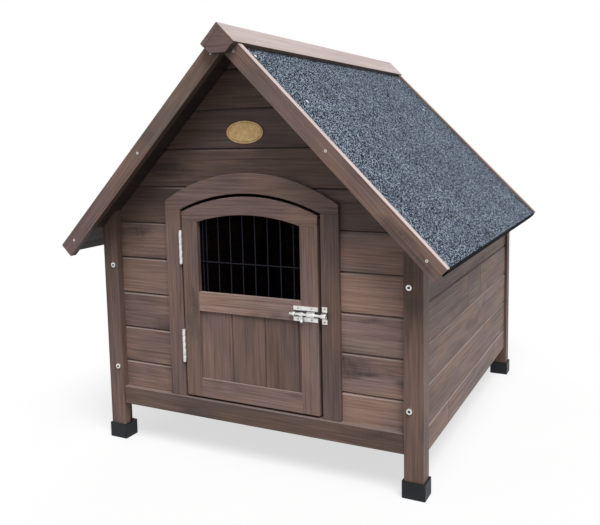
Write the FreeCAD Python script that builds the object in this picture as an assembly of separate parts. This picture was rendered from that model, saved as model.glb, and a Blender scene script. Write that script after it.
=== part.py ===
import FreeCAD, Part
import math
import os

V = FreeCAD.Vector

# The house over its four corner posts, in millimetres. +X is to the right, +Y to the back, +Z up.
WIDTH = 800.0
DEPTH = 901.6
ROOF_AT_POSTS_Z = 526.9
PITCH_DEG = 45.5

# Corner posts and their plastic foot caps.
POST_X = 41.3
POST_Y = 36.5
POST_REBATE = 8.0
CAP_WALL = 4.4
CAP_HEIGHT = 36.0
CAP_CORNER = 3.0

# Tongued and grooved boards.
BOARD_W = 86.2
BOARD_T = 12.0
BEVEL = 3.6
TONGUE = 5.0
JOINT_CLEAR = 0.3

# Gable walls, front and back.
GABLE_FACE_IN = 18.5
GABLE_LOW_Z = 89.3
GABLE_JOINT_Z = 108.8
GABLE_START_Z = 539.8
RAIL_TOP_Z = 132.5
RAIL_FACE_IN = 3.0

# Side walls.
SIDE_RECESS = 6.0
SIDE_LOW_Z = 84.0
SIDE_JOINT_Z = 139.0
SIDE_BATTEN_X = 30.0
SIDE_BATTEN_Y = 25.0

# Doorway: side jambs and an arched header on the boards' face.
OPENING_HALF = 177.0
OPENING_SPRING_Z = 576.0
OPENING_PEAK_Z = 615.2
JAMB_W = 41.0
JAMB_T = 10.5
HEADER_END_Z = 596.0
HEADER_PEAK_Z = 659.7

# Floor.
FLOOR_TOP_Z = 132.0
BEARER = 30.0
BEARER_FROM_SIDE = 47.0

# Roof layers, measured square to the slope from the ridge boards' top face.
RIDGE_T = 10.0
RIDGE_W = 57.0
RIDGE_FRONT_OUT = 90.9
RIDGE_BACK_OUT = 69.3
FELT_T = 3.0
RAFTER_T = 22.0
RAFTER_W = 25.0
EAVE_OUT = 68.2
BARGE_TOP = 3.1
BARGE_W = 36.3
BARGE_T = 18.0
FRONT_BARGE_OUT = 72.4
BACK_BARGE_OUT = 62.3
END_PLATE_DROP = 20.0

# Blank oval plaque on the front gable.
PLAQUE_LONG = 92.0
PLAQUE_HIGH = 50.0
PLAQUE_T = 3.0
PLAQUE_X = -3.5
PLAQUE_Z = 748.6

# Door: stiles and rails round a boarded panel and a barred window.
DOOR_T = 18.0
HINGE_GAP = 4.5
LATCH_GAP = 7.5
HEAD_GAP = 7.0
SILL_GAP = 5.8
STILE_W = 41.0
BOTTOM_RAIL_H = 44.2
MID_RAIL_LOW_Z = 343.0
MID_RAIL_H = 43.5
TOP_JOINT_Z = 548.5
WINDOW_PEAK_Z = 567.8
PANEL_T = 10.0
PANEL_RECESS = 5.0
PANEL_GROOVE = 8.0
PANEL_BEVEL = 2.2
FIRST_PANEL_BOARD = 83.2
PANEL_PITCH = 84.0
TENON_T = 8.0
TENON_L = 15.0
TENON_SHOULDER = 5.0
TOP_TENON_W = 20.0
TOP_TENON_H = 12.0

# Welded wire grille, let into a rebate round the back of the window.
WIRE_R = 1.25
WIRE_PITCH = 31.75
WIRE_LAP = 0.4
EDGE_WIRE_IN = 5.7
GRILLE_OFF_CENTRE = -3.35
CROSS_WIRE_Z = 456.2
GRILLE_REBATE = 8.0
GRILLE_REBATE_TOP_Z = 578.0
GRILLE_BACK_INSET = 1.0

# Butt hinges.
HINGE_LENGTH = 76.0
HINGE_ZS = (257.0, 489.5)
HINGE_AXIS_IN = 4.0
KNUCKLE_R = 4.0
PIN_R = 2.0
PIN_HEAD_R = 3.2
PIN_HEAD_T = 1.2
KNUCKLES = 5
KNUCKLE_GAP = 0.4
LEAF_T = 1.6
LEAF_EDGE = 4.6
HINGE_SCREW_PITCH = 26.0

# Barrel bolt on the door, with its keeper on the right jamb.
BOLT_Z = 360.4
BOLT_PROUD = 6.5
BOLT_R = 3.0
BOLT_TAIL = 7.5
PLATE_FROM_EDGE = 0.3
PLATE_LENGTH = 57.7
PLATE_H = 33.0
PLATE_T = 1.5
LOOP_R = 4.8
LOOP_W = 6.0
BARREL_R = 6.0
BARREL_LENGTH = 18.0
BARREL_FROM_END = 5.2
KEEPER_FROM_EDGE = 1.7
KEEPER_W = 11.8
KEEPER_H = 37.4
KEEPER_R = 5.5
KEEPER_CLEAR = 0.5
BOLT_REST_CLEAR = 0.4
KNOB_FROM_END = 17.2
KNOB_W = 8.0
KNOB_R = 4.6
STEM_R = 2.2
BALL_R = 3.6
KNOB_REACH = 19.0

# Fits: a shaft in its bore, and a screw in its hole.
RUNNING_FIT = 0.05
SCREW_FIT = 0.1

# Fasteners.
SCREW_HEAD_R = 3.0
SCREW_R = 1.5
SCREW_L = 12.0
PLATE_SCREW_L = 6.0
BARGE_SCREW_L = 28.0
RIDGE_SCREW_L = 24.0
POST_BOLT_FROM_SIDE = 29.0
POST_BOLT_ZS = (184.0, 437.0)
POST_BOLT_R = 3.0
POST_BOLT_L = 58.0
POST_BOLT_HEAD_R = 6.0
POST_BOLT_HEAD_T = 4.0
SOCKET_R = 3.0
SOCKET_DEEP = 2.5
BARGE_SCREW_FROM_RIDGE = 3.5
BARGE_SCREW_FROM_EAVE = 37.0
BARGE_SCREW_H = 21.0
RIDGE_SCREW_S = 42.0
RIDGE_SCREW_FROM_END = 115.0

# Places that follow from the sizes above.
SIN = math.sin(math.radians(PITCH_DEG))
COS = math.cos(math.radians(PITCH_DEG))
HALF = WIDTH / 2
RIDGE_LENGTH = RIDGE_FRONT_OUT + DEPTH + RIDGE_BACK_OUT
POST_BOLT_X = HALF - POST_BOLT_FROM_SIDE
POST_IN_X = HALF - POST_X
WALL_END_X = POST_IN_X + POST_REBATE
SIDE_FACE_X = HALF - SIDE_RECESS
SIDE_BACK_X = SIDE_FACE_X - BOARD_T
FRONT_Y = RIDGE_FRONT_OUT - RIDGE_LENGTH / 2
BACK_Y = FRONT_Y + DEPTH
GABLE_FACE_Y = FRONT_Y + GABLE_FACE_IN
GABLE_BACK_Y = GABLE_FACE_Y + BOARD_T
BACK_WALL_Y = BACK_Y - GABLE_FACE_IN - BOARD_T
JAMB_FACE_Y = GABLE_FACE_Y - JAMB_T
DOOR_BACK_Y = JAMB_FACE_Y + DOOR_T
DOOR_LEFT_X = -OPENING_HALF + HINGE_GAP
DOOR_RIGHT_X = OPENING_HALF - LATCH_GAP
DOOR_LOW_Z = RAIL_TOP_Z + SILL_GAP
WINDOW_LEFT_X = DOOR_LEFT_X + STILE_W
WINDOW_RIGHT_X = DOOR_RIGHT_X - STILE_W
BOTTOM_RAIL_TOP_Z = DOOR_LOW_Z + BOTTOM_RAIL_H
MID_RAIL_TOP_Z = MID_RAIL_LOW_Z + MID_RAIL_H
PANEL_JOINT_X = WINDOW_LEFT_X + FIRST_PANEL_BOARD
GRILLE_X = (WINDOW_LEFT_X + WINDOW_RIGHT_X) / 2 + GRILLE_OFF_CENTRE
WIRE_COUNT = int((WINDOW_RIGHT_X - WINDOW_LEFT_X) / WIRE_PITCH)
PANEL_FACE_Y = JAMB_FACE_Y + PANEL_RECESS
FELT_TOP = RIDGE_T
BOARDS_TOP = FELT_TOP + FELT_T
BOARDS_UNDER = BOARDS_TOP + BOARD_T
SLOPE_LENGTH = (HALF + EAVE_OUT) / COS
APEX_Z = ROOF_AT_POSTS_Z + (BOARDS_UNDER + HALF * SIN) / COS
ROOF_FRONT_Y = FRONT_Y - FRONT_BARGE_OUT + BARGE_T
ROOF_BACK_Y = BACK_Y + BACK_BARGE_OUT - BARGE_T
HINGE_X = -OPENING_HALF + HINGE_GAP / 2
HINGE_Y = FRONT_Y + HINGE_AXIS_IN
BOLT_Y = JAMB_FACE_Y - BOLT_PROUD
PLATE_RIGHT_X = DOOR_RIGHT_X - PLATE_FROM_EDGE
PLATE_LEFT_X = PLATE_RIGHT_X - PLATE_LENGTH
BARREL_RIGHT_X = PLATE_RIGHT_X - BARREL_FROM_END
BARREL_LEFT_X = BARREL_RIGHT_X - BARREL_LENGTH
KNOB_LEFT_X = PLATE_LEFT_X + KNOB_FROM_END
BOLT_LEFT_X = PLATE_LEFT_X - BOLT_TAIL
KEEPER_LEFT_X = OPENING_HALF + KEEPER_FROM_EDGE
BOLT_TIP_X = KEEPER_LEFT_X - BOLT_REST_CLEAR


def box(x0, x1, y0, y1, z0, z1):
    """Block between two corners, given in any order."""
    low = V(min(x0, x1), min(y0, y1), min(z0, z1))
    return Part.makeBox(abs(x1 - x0), abs(y1 - y0), abs(z1 - z0), low)


def prism(points, direction):
    """Closed outline pushed along a direction."""
    return Part.Face(Part.makePolygon(points + points[:1])).extrude(direction)


def prism_along_x(outline, x0, x1):
    """(y, z) outline from x0 to x1."""
    return prism([V(x0, y, z) for y, z in outline], V(x1 - x0, 0, 0))


def prism_along_y(outline, y0, y1):
    """(x, z) outline from y0 to y1."""
    return prism([V(x, y0, z) for x, z in outline], V(0, y1 - y0, 0))


def prism_along_z(outline, z0, z1):
    """(x, y) outline from z0 to z1."""
    return prism([V(x, y, z0) for x, y in outline], V(0, 0, z1 - z0))


def rod(radius, start, along):
    """Cylinder from a point, along a vector that also gives its length."""
    return Part.makeCylinder(radius, along.Length, start, along)


def mirror_x(shape):
    """The same piece on the other side of the house."""
    return shape.mirror(V(0, 0, 0), V(1, 0, 0))


def mirror_y(shape):
    """The same piece at the other end of the house."""
    return shape.mirror(V(0, (FRONT_Y + BACK_Y) / 2, 0), V(0, 1, 0))


def fuse(shapes):
    """One solid from touching shapes."""
    return shapes[0].multiFuse(shapes[1:]).removeSplitter()


def arched(half, low_z, spring_z, peak_z, y0, y1, centre_x=0.0):
    """Upright panel with a segmental arch for its top edge."""
    foot_left = V(centre_x - half, y0, low_z)
    foot_right = V(centre_x + half, y0, low_z)
    spring_left = V(centre_x - half, y0, spring_z)
    spring_right = V(centre_x + half, y0, spring_z)
    edges = [
        Part.makeLine(foot_left, foot_right),
        Part.makeLine(foot_right, spring_right),
        Part.Arc(spring_right, V(centre_x, y0, peak_z), spring_left).toShape(),
        Part.makeLine(spring_left, foot_left),
    ]
    return Part.Face(Part.Wire(edges)).extrude(V(0, y1 - y0, 0))


def board_outline(low, high, thick=BOARD_T, bevel=BEVEL, joint_low=True, joint_high=True):
    """Section of a tongued and grooved board as (across, depth), depth 0 on its bevelled show face."""
    tongue_face = thick / 2
    tongue_back = thick * 3 / 4
    points = []
    if joint_low:
        points += [
            (low, tongue_back + JOINT_CLEAR),
            (low + TONGUE + JOINT_CLEAR, tongue_back + JOINT_CLEAR),
            (low + TONGUE + JOINT_CLEAR, tongue_face - JOINT_CLEAR),
            (low, tongue_face - JOINT_CLEAR),
            (low, bevel),
            (low + bevel, 0),
        ]
    else:
        points.append((low, 0))
    if joint_high:
        points += [
            (high - bevel, 0),
            (high, bevel),
            (high, tongue_face),
            (high + TONGUE, tongue_face),
            (high + TONGUE, tongue_back),
            (high, tongue_back),
        ]
    else:
        points.append((high, 0))
    return points + [(high, thick), (low, thick)]


def board_outlines(edges, thick=BOARD_T, bevel=BEVEL, joint_above=False):
    """Sections of the boards that lie between successive edges."""
    last = len(edges) - 2
    outlines = []
    for i, (low, high) in enumerate(zip(edges, edges[1:])):
        outlines.append(board_outline(low, high, thick, bevel, i > 0, i < last or joint_above))
    return outlines


def board_edges(low, first_joint, high):
    """Edges of the boards in a wall, at the board pitch from its first joint."""
    edges = [low]
    while first_joint < high:
        edges.append(first_joint)
        first_joint += BOARD_W
    return edges + [high]


def slope_point(along, under):
    """(x, z) on the right slope: along it from the apex, and square under the ridge boards' top face."""
    return (along * COS - under * SIN, APEX_Z - along * SIN - under * COS)


def roof_underside_z(x):
    """Height of the roof boards' underside at a distance from the middle of the house."""
    return APEX_Z - (BOARDS_UNDER + x * SIN) / COS


def apex_along(under):
    """Distance along the slope at which a layer meets the middle of the house."""
    return under * SIN / COS


def under_roof(shape):
    """Trim a wall piece to the underside of the roof boards."""
    big = WIDTH * 2
    eave_z = roof_underside_z(WIDTH)
    outline = [(0, roof_underside_z(0)), (WIDTH, eave_z), (WIDTH, -big), (-WIDTH, -big), (-WIDTH, eave_z)]
    return shape.common(prism_along_y(outline, -big, big))


def corner_post():
    """Front left post, rebated for the gable boards and cut to the roof."""
    post = box(-HALF, -POST_IN_X, FRONT_Y, FRONT_Y + POST_Y, CAP_WALL, APEX_Z)
    rebate = box(-WALL_END_X, -POST_IN_X, GABLE_FACE_Y, FRONT_Y + POST_Y, CAP_WALL, APEX_Z)
    post = under_roof(post.cut(rebate))
    for z in POST_BOLT_ZS:
        post = post.cut(rod(POST_BOLT_R + SCREW_FIT, V(-POST_BOLT_X, FRONT_Y, z), V(0, POST_Y, 0)))
    return post


def foot_cap():
    """Front left plastic cap that the post stands in."""
    x0 = -HALF - CAP_WALL
    y0 = FRONT_Y - CAP_WALL
    outer = box(x0, x0 + POST_X + 2 * CAP_WALL, y0, y0 + POST_Y + 2 * CAP_WALL, 0, CAP_HEIGHT)
    uprights = [e for e in outer.Edges if abs(e.tangentAt(e.FirstParameter).z) > 0.99]
    outer = outer.makeFillet(CAP_CORNER, uprights)
    return outer.cut(box(-HALF, -POST_IN_X, FRONT_Y, FRONT_Y + POST_Y, CAP_WALL, CAP_HEIGHT))


def gable_rail():
    """Front bottom rail between the posts, on the boards' face."""
    return box(-POST_IN_X, POST_IN_X, FRONT_Y + RAIL_FACE_IN, GABLE_FACE_Y, GABLE_LOW_Z, RAIL_TOP_Z)


def gable_boards(x0, x1, edges, joint_above=False):
    """Horizontal boards of a front gable wall."""
    boards = []
    for outline in board_outlines(edges, joint_above=joint_above):
        boards.append(prism_along_x([(GABLE_FACE_Y + d, z) for z, d in outline], x0, x1))
    return boards


def doorway():
    """The arched hole through the front wall."""
    return arched(OPENING_HALF, GABLE_LOW_Z, OPENING_SPRING_Z, OPENING_PEAK_Z, JAMB_FACE_Y, GABLE_BACK_Y)


def wall_boards_left():
    """Front boards between the left post and the doorway."""
    edges = board_edges(GABLE_LOW_Z, GABLE_JOINT_Z, GABLE_START_Z)
    return gable_boards(-WALL_END_X, -OPENING_HALF, edges, True)


def top_gable_boards():
    """Boards from the head of the doorway up to the roof."""
    edges = board_edges(GABLE_START_Z, GABLE_START_Z + BOARD_W, roof_underside_z(0))
    boards = gable_boards(-WALL_END_X, WALL_END_X, edges)
    grooved = board_outline(GABLE_START_Z, GABLE_START_Z + BOARD_W)
    boards[0] = prism_along_x([(GABLE_FACE_Y + d, z) for z, d in grooved], -WALL_END_X, WALL_END_X)
    return [under_roof(board) for board in boards]


def door_sill():
    """Threshold behind the front rail, between the wall boards."""
    return box(-OPENING_HALF, OPENING_HALF, GABLE_FACE_Y, GABLE_BACK_Y, GABLE_LOW_Z, RAIL_TOP_Z)


def left_jamb():
    """Left board of the door surround, drilled for the hinge screws."""
    jamb = box(-OPENING_HALF - JAMB_W, -OPENING_HALF, JAMB_FACE_Y, GABLE_FACE_Y, RAIL_TOP_Z, OPENING_SPRING_Z)
    for place in frame_screw_places():
        jamb = jamb.cut(screw(place, V(-1, 0, 0), SCREW_L, SCREW_FIT))
    return jamb


def right_jamb():
    """Right board of the door surround, drilled for the keeper's screws."""
    jamb = box(OPENING_HALF, OPENING_HALF + JAMB_W, JAMB_FACE_Y, GABLE_FACE_Y, RAIL_TOP_Z, OPENING_SPRING_Z)
    for place in keeper_screw_places():
        jamb = jamb.cut(screw(place, V(0, 1, 0), JAMB_T, SCREW_FIT))
    return jamb


def door_header():
    """Arched head of the door surround."""
    half = OPENING_HALF + JAMB_W
    header = arched(half, OPENING_SPRING_Z, HEADER_END_Z, HEADER_PEAK_Z, JAMB_FACE_Y, GABLE_FACE_Y)
    return header.cut(doorway())


def side_boards():
    """Left wall's boards, between the posts."""
    boards = []
    for outline in board_outlines(board_edges(SIDE_LOW_Z, SIDE_JOINT_Z, roof_underside_z(SIDE_BACK_X))):
        points = [(d - SIDE_FACE_X, z) for z, d in outline]
        boards.append(under_roof(prism_along_y(points, FRONT_Y + POST_Y, BACK_Y - POST_Y)))
    return boards


def side_battens():
    """Upright battens inside the left wall, one at each end, that the post bolts reach."""
    x0 = -SIDE_BACK_X
    y0 = FRONT_Y + POST_Y
    batten = under_roof(box(x0, x0 + SIDE_BATTEN_X, y0, y0 + SIDE_BATTEN_Y, GABLE_LOW_Z, APEX_Z))
    for z in POST_BOLT_ZS:
        batten = batten.cut(rod(POST_BOLT_R + SCREW_FIT, V(-POST_BOLT_X, FRONT_Y, z), V(0, POST_BOLT_L, 0)))
    return [batten, mirror_y(batten)]


def floor_bearers():
    """Three bearers from the front wall to the back wall."""
    z1 = FLOOR_TOP_Z - BOARD_T
    reach = SIDE_BACK_X - BEARER_FROM_SIDE
    bearers = []
    for x in (-reach, 0, reach):
        bearers.append(box(x - BEARER / 2, x + BEARER / 2, GABLE_BACK_Y, BACK_WALL_Y, z1 - BEARER, z1))
    return bearers


def floor_boards():
    """Boards across the bearers, notched round the posts and the corner battens."""
    y0 = GABLE_BACK_Y
    corner = box(-SIDE_BACK_X, -SIDE_BACK_X + SIDE_BATTEN_X, y0, FRONT_Y + POST_Y + SIDE_BATTEN_Y, 0, APEX_Z)
    corners = [corner, mirror_x(corner), mirror_y(corner), mirror_x(mirror_y(corner))]
    boards = []
    for outline in board_outlines(board_edges(y0, y0 + BOARD_W, BACK_WALL_Y)):
        board = prism_along_x([(y, FLOOR_TOP_Z - d) for y, d in outline], -SIDE_BACK_X, SIDE_BACK_X)
        boards.append(board.cut(corners))
    return boards


def roof_boards():
    """Right slope's boards, bevelled faces down."""
    edges = [SLOPE_LENGTH]
    while edges[0] - BOARD_W > apex_along(BOARDS_UNDER):
        edges.insert(0, edges[0] - BOARD_W)
    boards = []
    for outline in board_outlines(edges):
        points = [slope_point(s, BOARDS_UNDER - d) for s, d in outline]
        boards.append(prism_along_y(points, ROOF_FRONT_Y, ROOF_BACK_Y))
    top = [
        slope_point(apex_along(BOARDS_TOP), BOARDS_TOP),
        slope_point(edges[0], BOARDS_TOP),
        slope_point(edges[0], BOARDS_UNDER),
        slope_point(apex_along(BOARDS_UNDER), BOARDS_UNDER),
    ]
    return boards + [prism_along_y(top, ROOF_FRONT_Y, ROOF_BACK_Y)]


def roof_rafters():
    """Right slope's rafters: one behind each gable wall and one midway."""
    under = BOARDS_UNDER + RAFTER_T
    foot_x = SIDE_BACK_X - SIDE_BATTEN_X
    slope = prism_along_y([
        slope_point(apex_along(BOARDS_UNDER), BOARDS_UNDER),
        slope_point(SLOPE_LENGTH, BOARDS_UNDER),
        slope_point(SLOPE_LENGTH, under),
        slope_point(apex_along(under), under),
    ], GABLE_BACK_Y, BACK_WALL_Y)
    middle = (FRONT_Y + BACK_Y) / 2
    rafters = []
    for y in (GABLE_BACK_Y, middle - RAFTER_W / 2, BACK_WALL_Y - RAFTER_W):
        rafters.append(slope.common(box(0, foot_x, y, y + RAFTER_W, 0, APEX_Z)))
    return rafters


def roof_felt():
    """Right slope's felt, turned down over the boards' ends at the eave."""
    points = [
        slope_point(apex_along(FELT_TOP), FELT_TOP),
        slope_point(SLOPE_LENGTH + FELT_T, FELT_TOP),
        slope_point(SLOPE_LENGTH + FELT_T, BOARDS_UNDER),
        slope_point(SLOPE_LENGTH, BOARDS_UNDER),
        slope_point(SLOPE_LENGTH, BOARDS_TOP),
        slope_point(apex_along(BOARDS_TOP), BOARDS_TOP),
    ]
    return prism_along_y(points, ROOF_FRONT_Y, ROOF_BACK_Y)


def barge_board(y0, y1, outward):
    """Right barge board, notched at the top for the ridge board and drilled for its screws."""
    notch = RIDGE_W + JOINT_CLEAR
    low = BARGE_TOP + BARGE_W
    points = [
        slope_point(apex_along(FELT_TOP), FELT_TOP),
        slope_point(notch, FELT_TOP),
        slope_point(notch, BARGE_TOP),
        slope_point(SLOPE_LENGTH, BARGE_TOP),
        slope_point(SLOPE_LENGTH, low),
        slope_point(apex_along(low), low),
    ]
    barge = prism_along_y(points, y0, y1)
    for place in barge_screw_places():
        start = V(place[0], y1 if outward > 0 else y0, place[1])
        barge = barge.cut(screw(start, V(0, -outward, 0), BARGE_T, SCREW_FIT))
    return barge


def ridge_boards():
    """Left and right ridge boards: the right one laps the left one's edge."""
    y0 = -RIDGE_LENGTH / 2
    y1 = RIDGE_LENGTH / 2
    lap = RIDGE_T / math.sin(math.radians(2 * PITCH_DEG))
    left_top_x, left_top_z = slope_point(lap, 0)
    low = slope_point(RIDGE_W, 0)
    low_under = slope_point(RIDGE_W, RIDGE_T)
    inner = (0, APEX_Z - RIDGE_T / COS)
    right = prism_along_y([(0, APEX_Z), low, low_under, inner, (-left_top_x, left_top_z)], y0, y1)
    lapped = [(-left_top_x, left_top_z), (-low[0], low[1]), (-low_under[0], low_under[1]), inner]
    left = prism_along_y(lapped, y0, y1)
    for place in ridge_screw_places():
        right = right.cut(slope_screw(place, SCREW_FIT))
        left = left.cut(mirror_x(slope_screw(place, SCREW_FIT)))
    return left, right


def ridge_end_plate():
    """Kite-shaped plate under the front ends of the ridge boards."""
    side = slope_point(RIDGE_W, RIDGE_T)
    low = slope_point(RIDGE_W, RIDGE_T + END_PLATE_DROP)
    points = [(0, APEX_Z - RIDGE_T / COS), side, low, (-low[0], low[1]), (-side[0], side[1])]
    return prism_along_y(points, -RIDGE_LENGTH / 2, FRONT_Y - FRONT_BARGE_OUT)


def gable_plaque():
    """Blank oval plaque."""
    oval = Part.Ellipse(V(0, 0, 0), PLAQUE_LONG / 2, PLAQUE_HIGH / 2).toShape()
    plaque = Part.Face(Part.Wire([oval])).extrude(V(0, 0, PLAQUE_T))
    plaque.rotate(V(0, 0, 0), V(1, 0, 0), 90)
    plaque.translate(V(PLAQUE_X, GABLE_FACE_Y, PLAQUE_Z))
    return plaque


def screw(head_centre, direction, length, grow=0.0):
    """Countersunk screw with its head flush at a point; grown, it is the hole for one."""
    head = SCREW_HEAD_R + grow
    shank = SCREW_R + grow
    cone = head - shank
    axis = V(direction.x, direction.y, direction.z)
    cone_shape = Part.makeCone(head, shank, cone, head_centre, axis)
    return cone_shape.fuse(rod(shank, head_centre + axis * cone, axis * (length - cone)))


def slope_screw(place, grow=0.0):
    """Screw driven square into the right slope at a (slope distance, y) place."""
    along, y = place
    x, z = slope_point(along, 0)
    return screw(V(x, y, z), V(-SIN, 0, -COS), RIDGE_SCREW_L, grow)


def frame_screw_places():
    """Heads of the hinge screws in the jamb."""
    x = -OPENING_HALF + LEAF_T
    y = JAMB_FACE_Y + JAMB_T / 2
    return [V(x, y, z + step * HINGE_SCREW_PITCH) for z in HINGE_ZS for step in (-1, 0, 1)]


def door_screw_places():
    """Heads of the hinge screws in the door's edge."""
    x = DOOR_LEFT_X - LEAF_T
    y = JAMB_FACE_Y + DOOR_T / 2
    return [V(x, y, z + step * HINGE_SCREW_PITCH) for z in HINGE_ZS for step in (-1, 0, 1)]


def plate_screw_places():
    """Heads of the four screws of the bolt's plate."""
    inset = PLATE_H / 2 - SCREW_HEAD_R - PLATE_T
    left = PLATE_LEFT_X + LOOP_W + SCREW_HEAD_R + PLATE_T
    right = (BARREL_LEFT_X + BARREL_RIGHT_X) / 2
    return [V(x, JAMB_FACE_Y - PLATE_T, BOLT_Z + side * inset) for x in (left, right) for side in (-1, 1)]


def keeper_screw_places():
    """Heads of the two screws of the keeper."""
    inset = KEEPER_H / 2 - SCREW_HEAD_R - PLATE_T
    x = KEEPER_LEFT_X + KEEPER_W / 2
    return [V(x, JAMB_FACE_Y - PLATE_T, BOLT_Z + side * inset) for side in (-1, 1)]


def barge_screw_places():
    """(x, z) of a right barge board's screws."""
    high = RIDGE_W + BARGE_SCREW_FROM_RIDGE
    low = SLOPE_LENGTH - BARGE_SCREW_FROM_EAVE
    return [slope_point(along, BARGE_SCREW_H) for along in (high, (high + low) / 2, low)]


def ridge_screw_places():
    """(slope distance, y) of the ridge screws on one slope."""
    return [(RIDGE_SCREW_S, side * (RIDGE_LENGTH / 2 - RIDGE_SCREW_FROM_END)) for side in (-1, 1)]


def barge_screws():
    """Screws through the four barge boards into the roof boards."""
    front_y = FRONT_Y - FRONT_BARGE_OUT
    back_y = BACK_Y + BACK_BARGE_OUT
    screws = []
    for x, z in barge_screw_places():
        front = screw(V(x, front_y, z), V(0, 1, 0), BARGE_SCREW_L)
        back = screw(V(x, back_y, z), V(0, -1, 0), BARGE_SCREW_L)
        screws += [front, mirror_x(front), back, mirror_x(back)]
    return screws


def ridge_screws():
    """Screws through the ridge boards into the roof boards."""
    screws = [slope_screw(place) for place in ridge_screw_places()]
    return screws + [mirror_x(one) for one in screws]


def drill_slope(shape):
    """Clear the ridge and barge screws out of a right slope's layer."""
    for place in ridge_screw_places():
        shape = shape.cut(slope_screw(place, SCREW_FIT))
    for x, z in barge_screw_places():
        for y, direction in ((FRONT_Y - FRONT_BARGE_OUT, 1), (BACK_Y + BACK_BARGE_OUT, -1)):
            shape = shape.cut(screw(V(x, y, z), V(0, direction, 0), BARGE_SCREW_L, SCREW_FIT))
    return shape


def post_bolt(z):
    """Front left bolt with a hexagon socket, from the post's face into the side wall's batten."""
    start = V(-POST_BOLT_X, FRONT_Y, z)
    head = rod(POST_BOLT_HEAD_R, start, V(0, -POST_BOLT_HEAD_T, 0))
    bolt = head.fuse(rod(POST_BOLT_R, start, V(0, POST_BOLT_L, 0)))
    face_y = FRONT_Y - POST_BOLT_HEAD_T
    corners = []
    for i in range(6):
        angle = math.radians(60 * i)
        corners.append((-POST_BOLT_X + SOCKET_R * math.cos(angle), z + SOCKET_R * math.sin(angle)))
    return bolt.cut(prism_along_y(corners, face_y, face_y + SOCKET_DEEP))


def post_bolts():
    """Two bolts in each of the four posts."""
    bolts = []
    for z in POST_BOLT_ZS:
        front = post_bolt(z)
        bolts += [front, mirror_x(front), mirror_y(front), mirror_x(mirror_y(front))]
    return bolts


def panel_groove():
    """Groove round the door's lower panel, and room for the boards' ends in it."""
    depth = PANEL_GROOVE + JOINT_CLEAR
    return box(WINDOW_LEFT_X - depth, WINDOW_RIGHT_X + depth, PANEL_FACE_Y, PANEL_FACE_Y + PANEL_T,
               BOTTOM_RAIL_TOP_Z - depth, MID_RAIL_LOW_Z + depth)


def grille_rebate():
    """Rebate round the back of the window."""
    depth = GRILLE_BACK_INSET + 4 * WIRE_R - WIRE_LAP + JOINT_CLEAR
    x0 = WINDOW_LEFT_X - GRILLE_REBATE
    x1 = WINDOW_RIGHT_X + GRILLE_REBATE
    z0 = MID_RAIL_TOP_Z - GRILLE_REBATE
    return box(x0, x1, DOOR_BACK_Y - depth, DOOR_BACK_Y, z0, GRILLE_REBATE_TOP_Z)


def tenon_slot(x0, x1, z0, z1, grow=0.0):
    """Tenon between two heights; grown, it is the mortise for one."""
    y = PANEL_FACE_Y
    return box(x0 - grow, x1 + grow, y, y + TENON_T, z0 - grow, z1 + grow)


def rail_tenon(low_z, high_z, grow=0.0):
    """Pair of tenons on a rail's two ends, as one bar."""
    return tenon_slot(WINDOW_LEFT_X - TENON_L, WINDOW_RIGHT_X + TENON_L, low_z, high_z, grow)


def bottom_tenon(grow=0.0):
    """Bottom rail's tenons, below the panel groove."""
    return rail_tenon(DOOR_LOW_Z + TENON_SHOULDER, BOTTOM_RAIL_TOP_Z - PANEL_GROOVE - 2 * JOINT_CLEAR, grow)


def mid_tenon(grow=0.0):
    """Middle rail's tenons, above the panel groove."""
    low = MID_RAIL_LOW_Z + PANEL_GROOVE + 2 * JOINT_CLEAR
    return rail_tenon(low, MID_RAIL_TOP_Z - TENON_SHOULDER, grow)


def top_tenon(left, grow=0.0):
    """Tenon on a stile's top end."""
    edge = DOOR_LEFT_X if left else WINDOW_RIGHT_X
    x = edge + STILE_W / 2
    return tenon_slot(x - TOP_TENON_W / 2, x + TOP_TENON_W / 2, TOP_JOINT_Z, TOP_JOINT_Z + TOP_TENON_H, grow)


def door_stile(left):
    """Upright of the door, mortised for the rails and grooved for the panel."""
    x0 = DOOR_LEFT_X if left else WINDOW_RIGHT_X
    stile = box(x0, x0 + STILE_W, JAMB_FACE_Y, DOOR_BACK_Y, DOOR_LOW_Z, TOP_JOINT_Z)
    stile = stile.fuse(top_tenon(left))
    stile = stile.cut([panel_groove(), grille_rebate(), bottom_tenon(JOINT_CLEAR), mid_tenon(JOINT_CLEAR)])
    if left:
        for place in door_screw_places():
            stile = stile.cut(screw(place, V(1, 0, 0), SCREW_L, SCREW_FIT))
    return drill_plate_holes(stile)


def drill_plate_holes(shape):
    """Pilot holes for the bolt plate's screws."""
    for place in plate_screw_places():
        shape = shape.cut(screw(place, V(0, 1, 0), PLATE_SCREW_L, SCREW_FIT))
    return shape


def door_bottom_rail():
    """Bottom rail with its tenons and the panel's groove."""
    rail = box(WINDOW_LEFT_X, WINDOW_RIGHT_X, JAMB_FACE_Y, DOOR_BACK_Y, DOOR_LOW_Z, BOTTOM_RAIL_TOP_Z)
    return rail.fuse(bottom_tenon()).cut(panel_groove())


def door_mid_rail():
    """Middle rail with its tenons, the panel's groove and the window's rebate."""
    rail = box(WINDOW_LEFT_X, WINDOW_RIGHT_X, JAMB_FACE_Y, DOOR_BACK_Y, MID_RAIL_LOW_Z, MID_RAIL_TOP_Z)
    rail = rail.fuse(mid_tenon()).cut([panel_groove(), grille_rebate()])
    return drill_plate_holes(rail)


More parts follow.
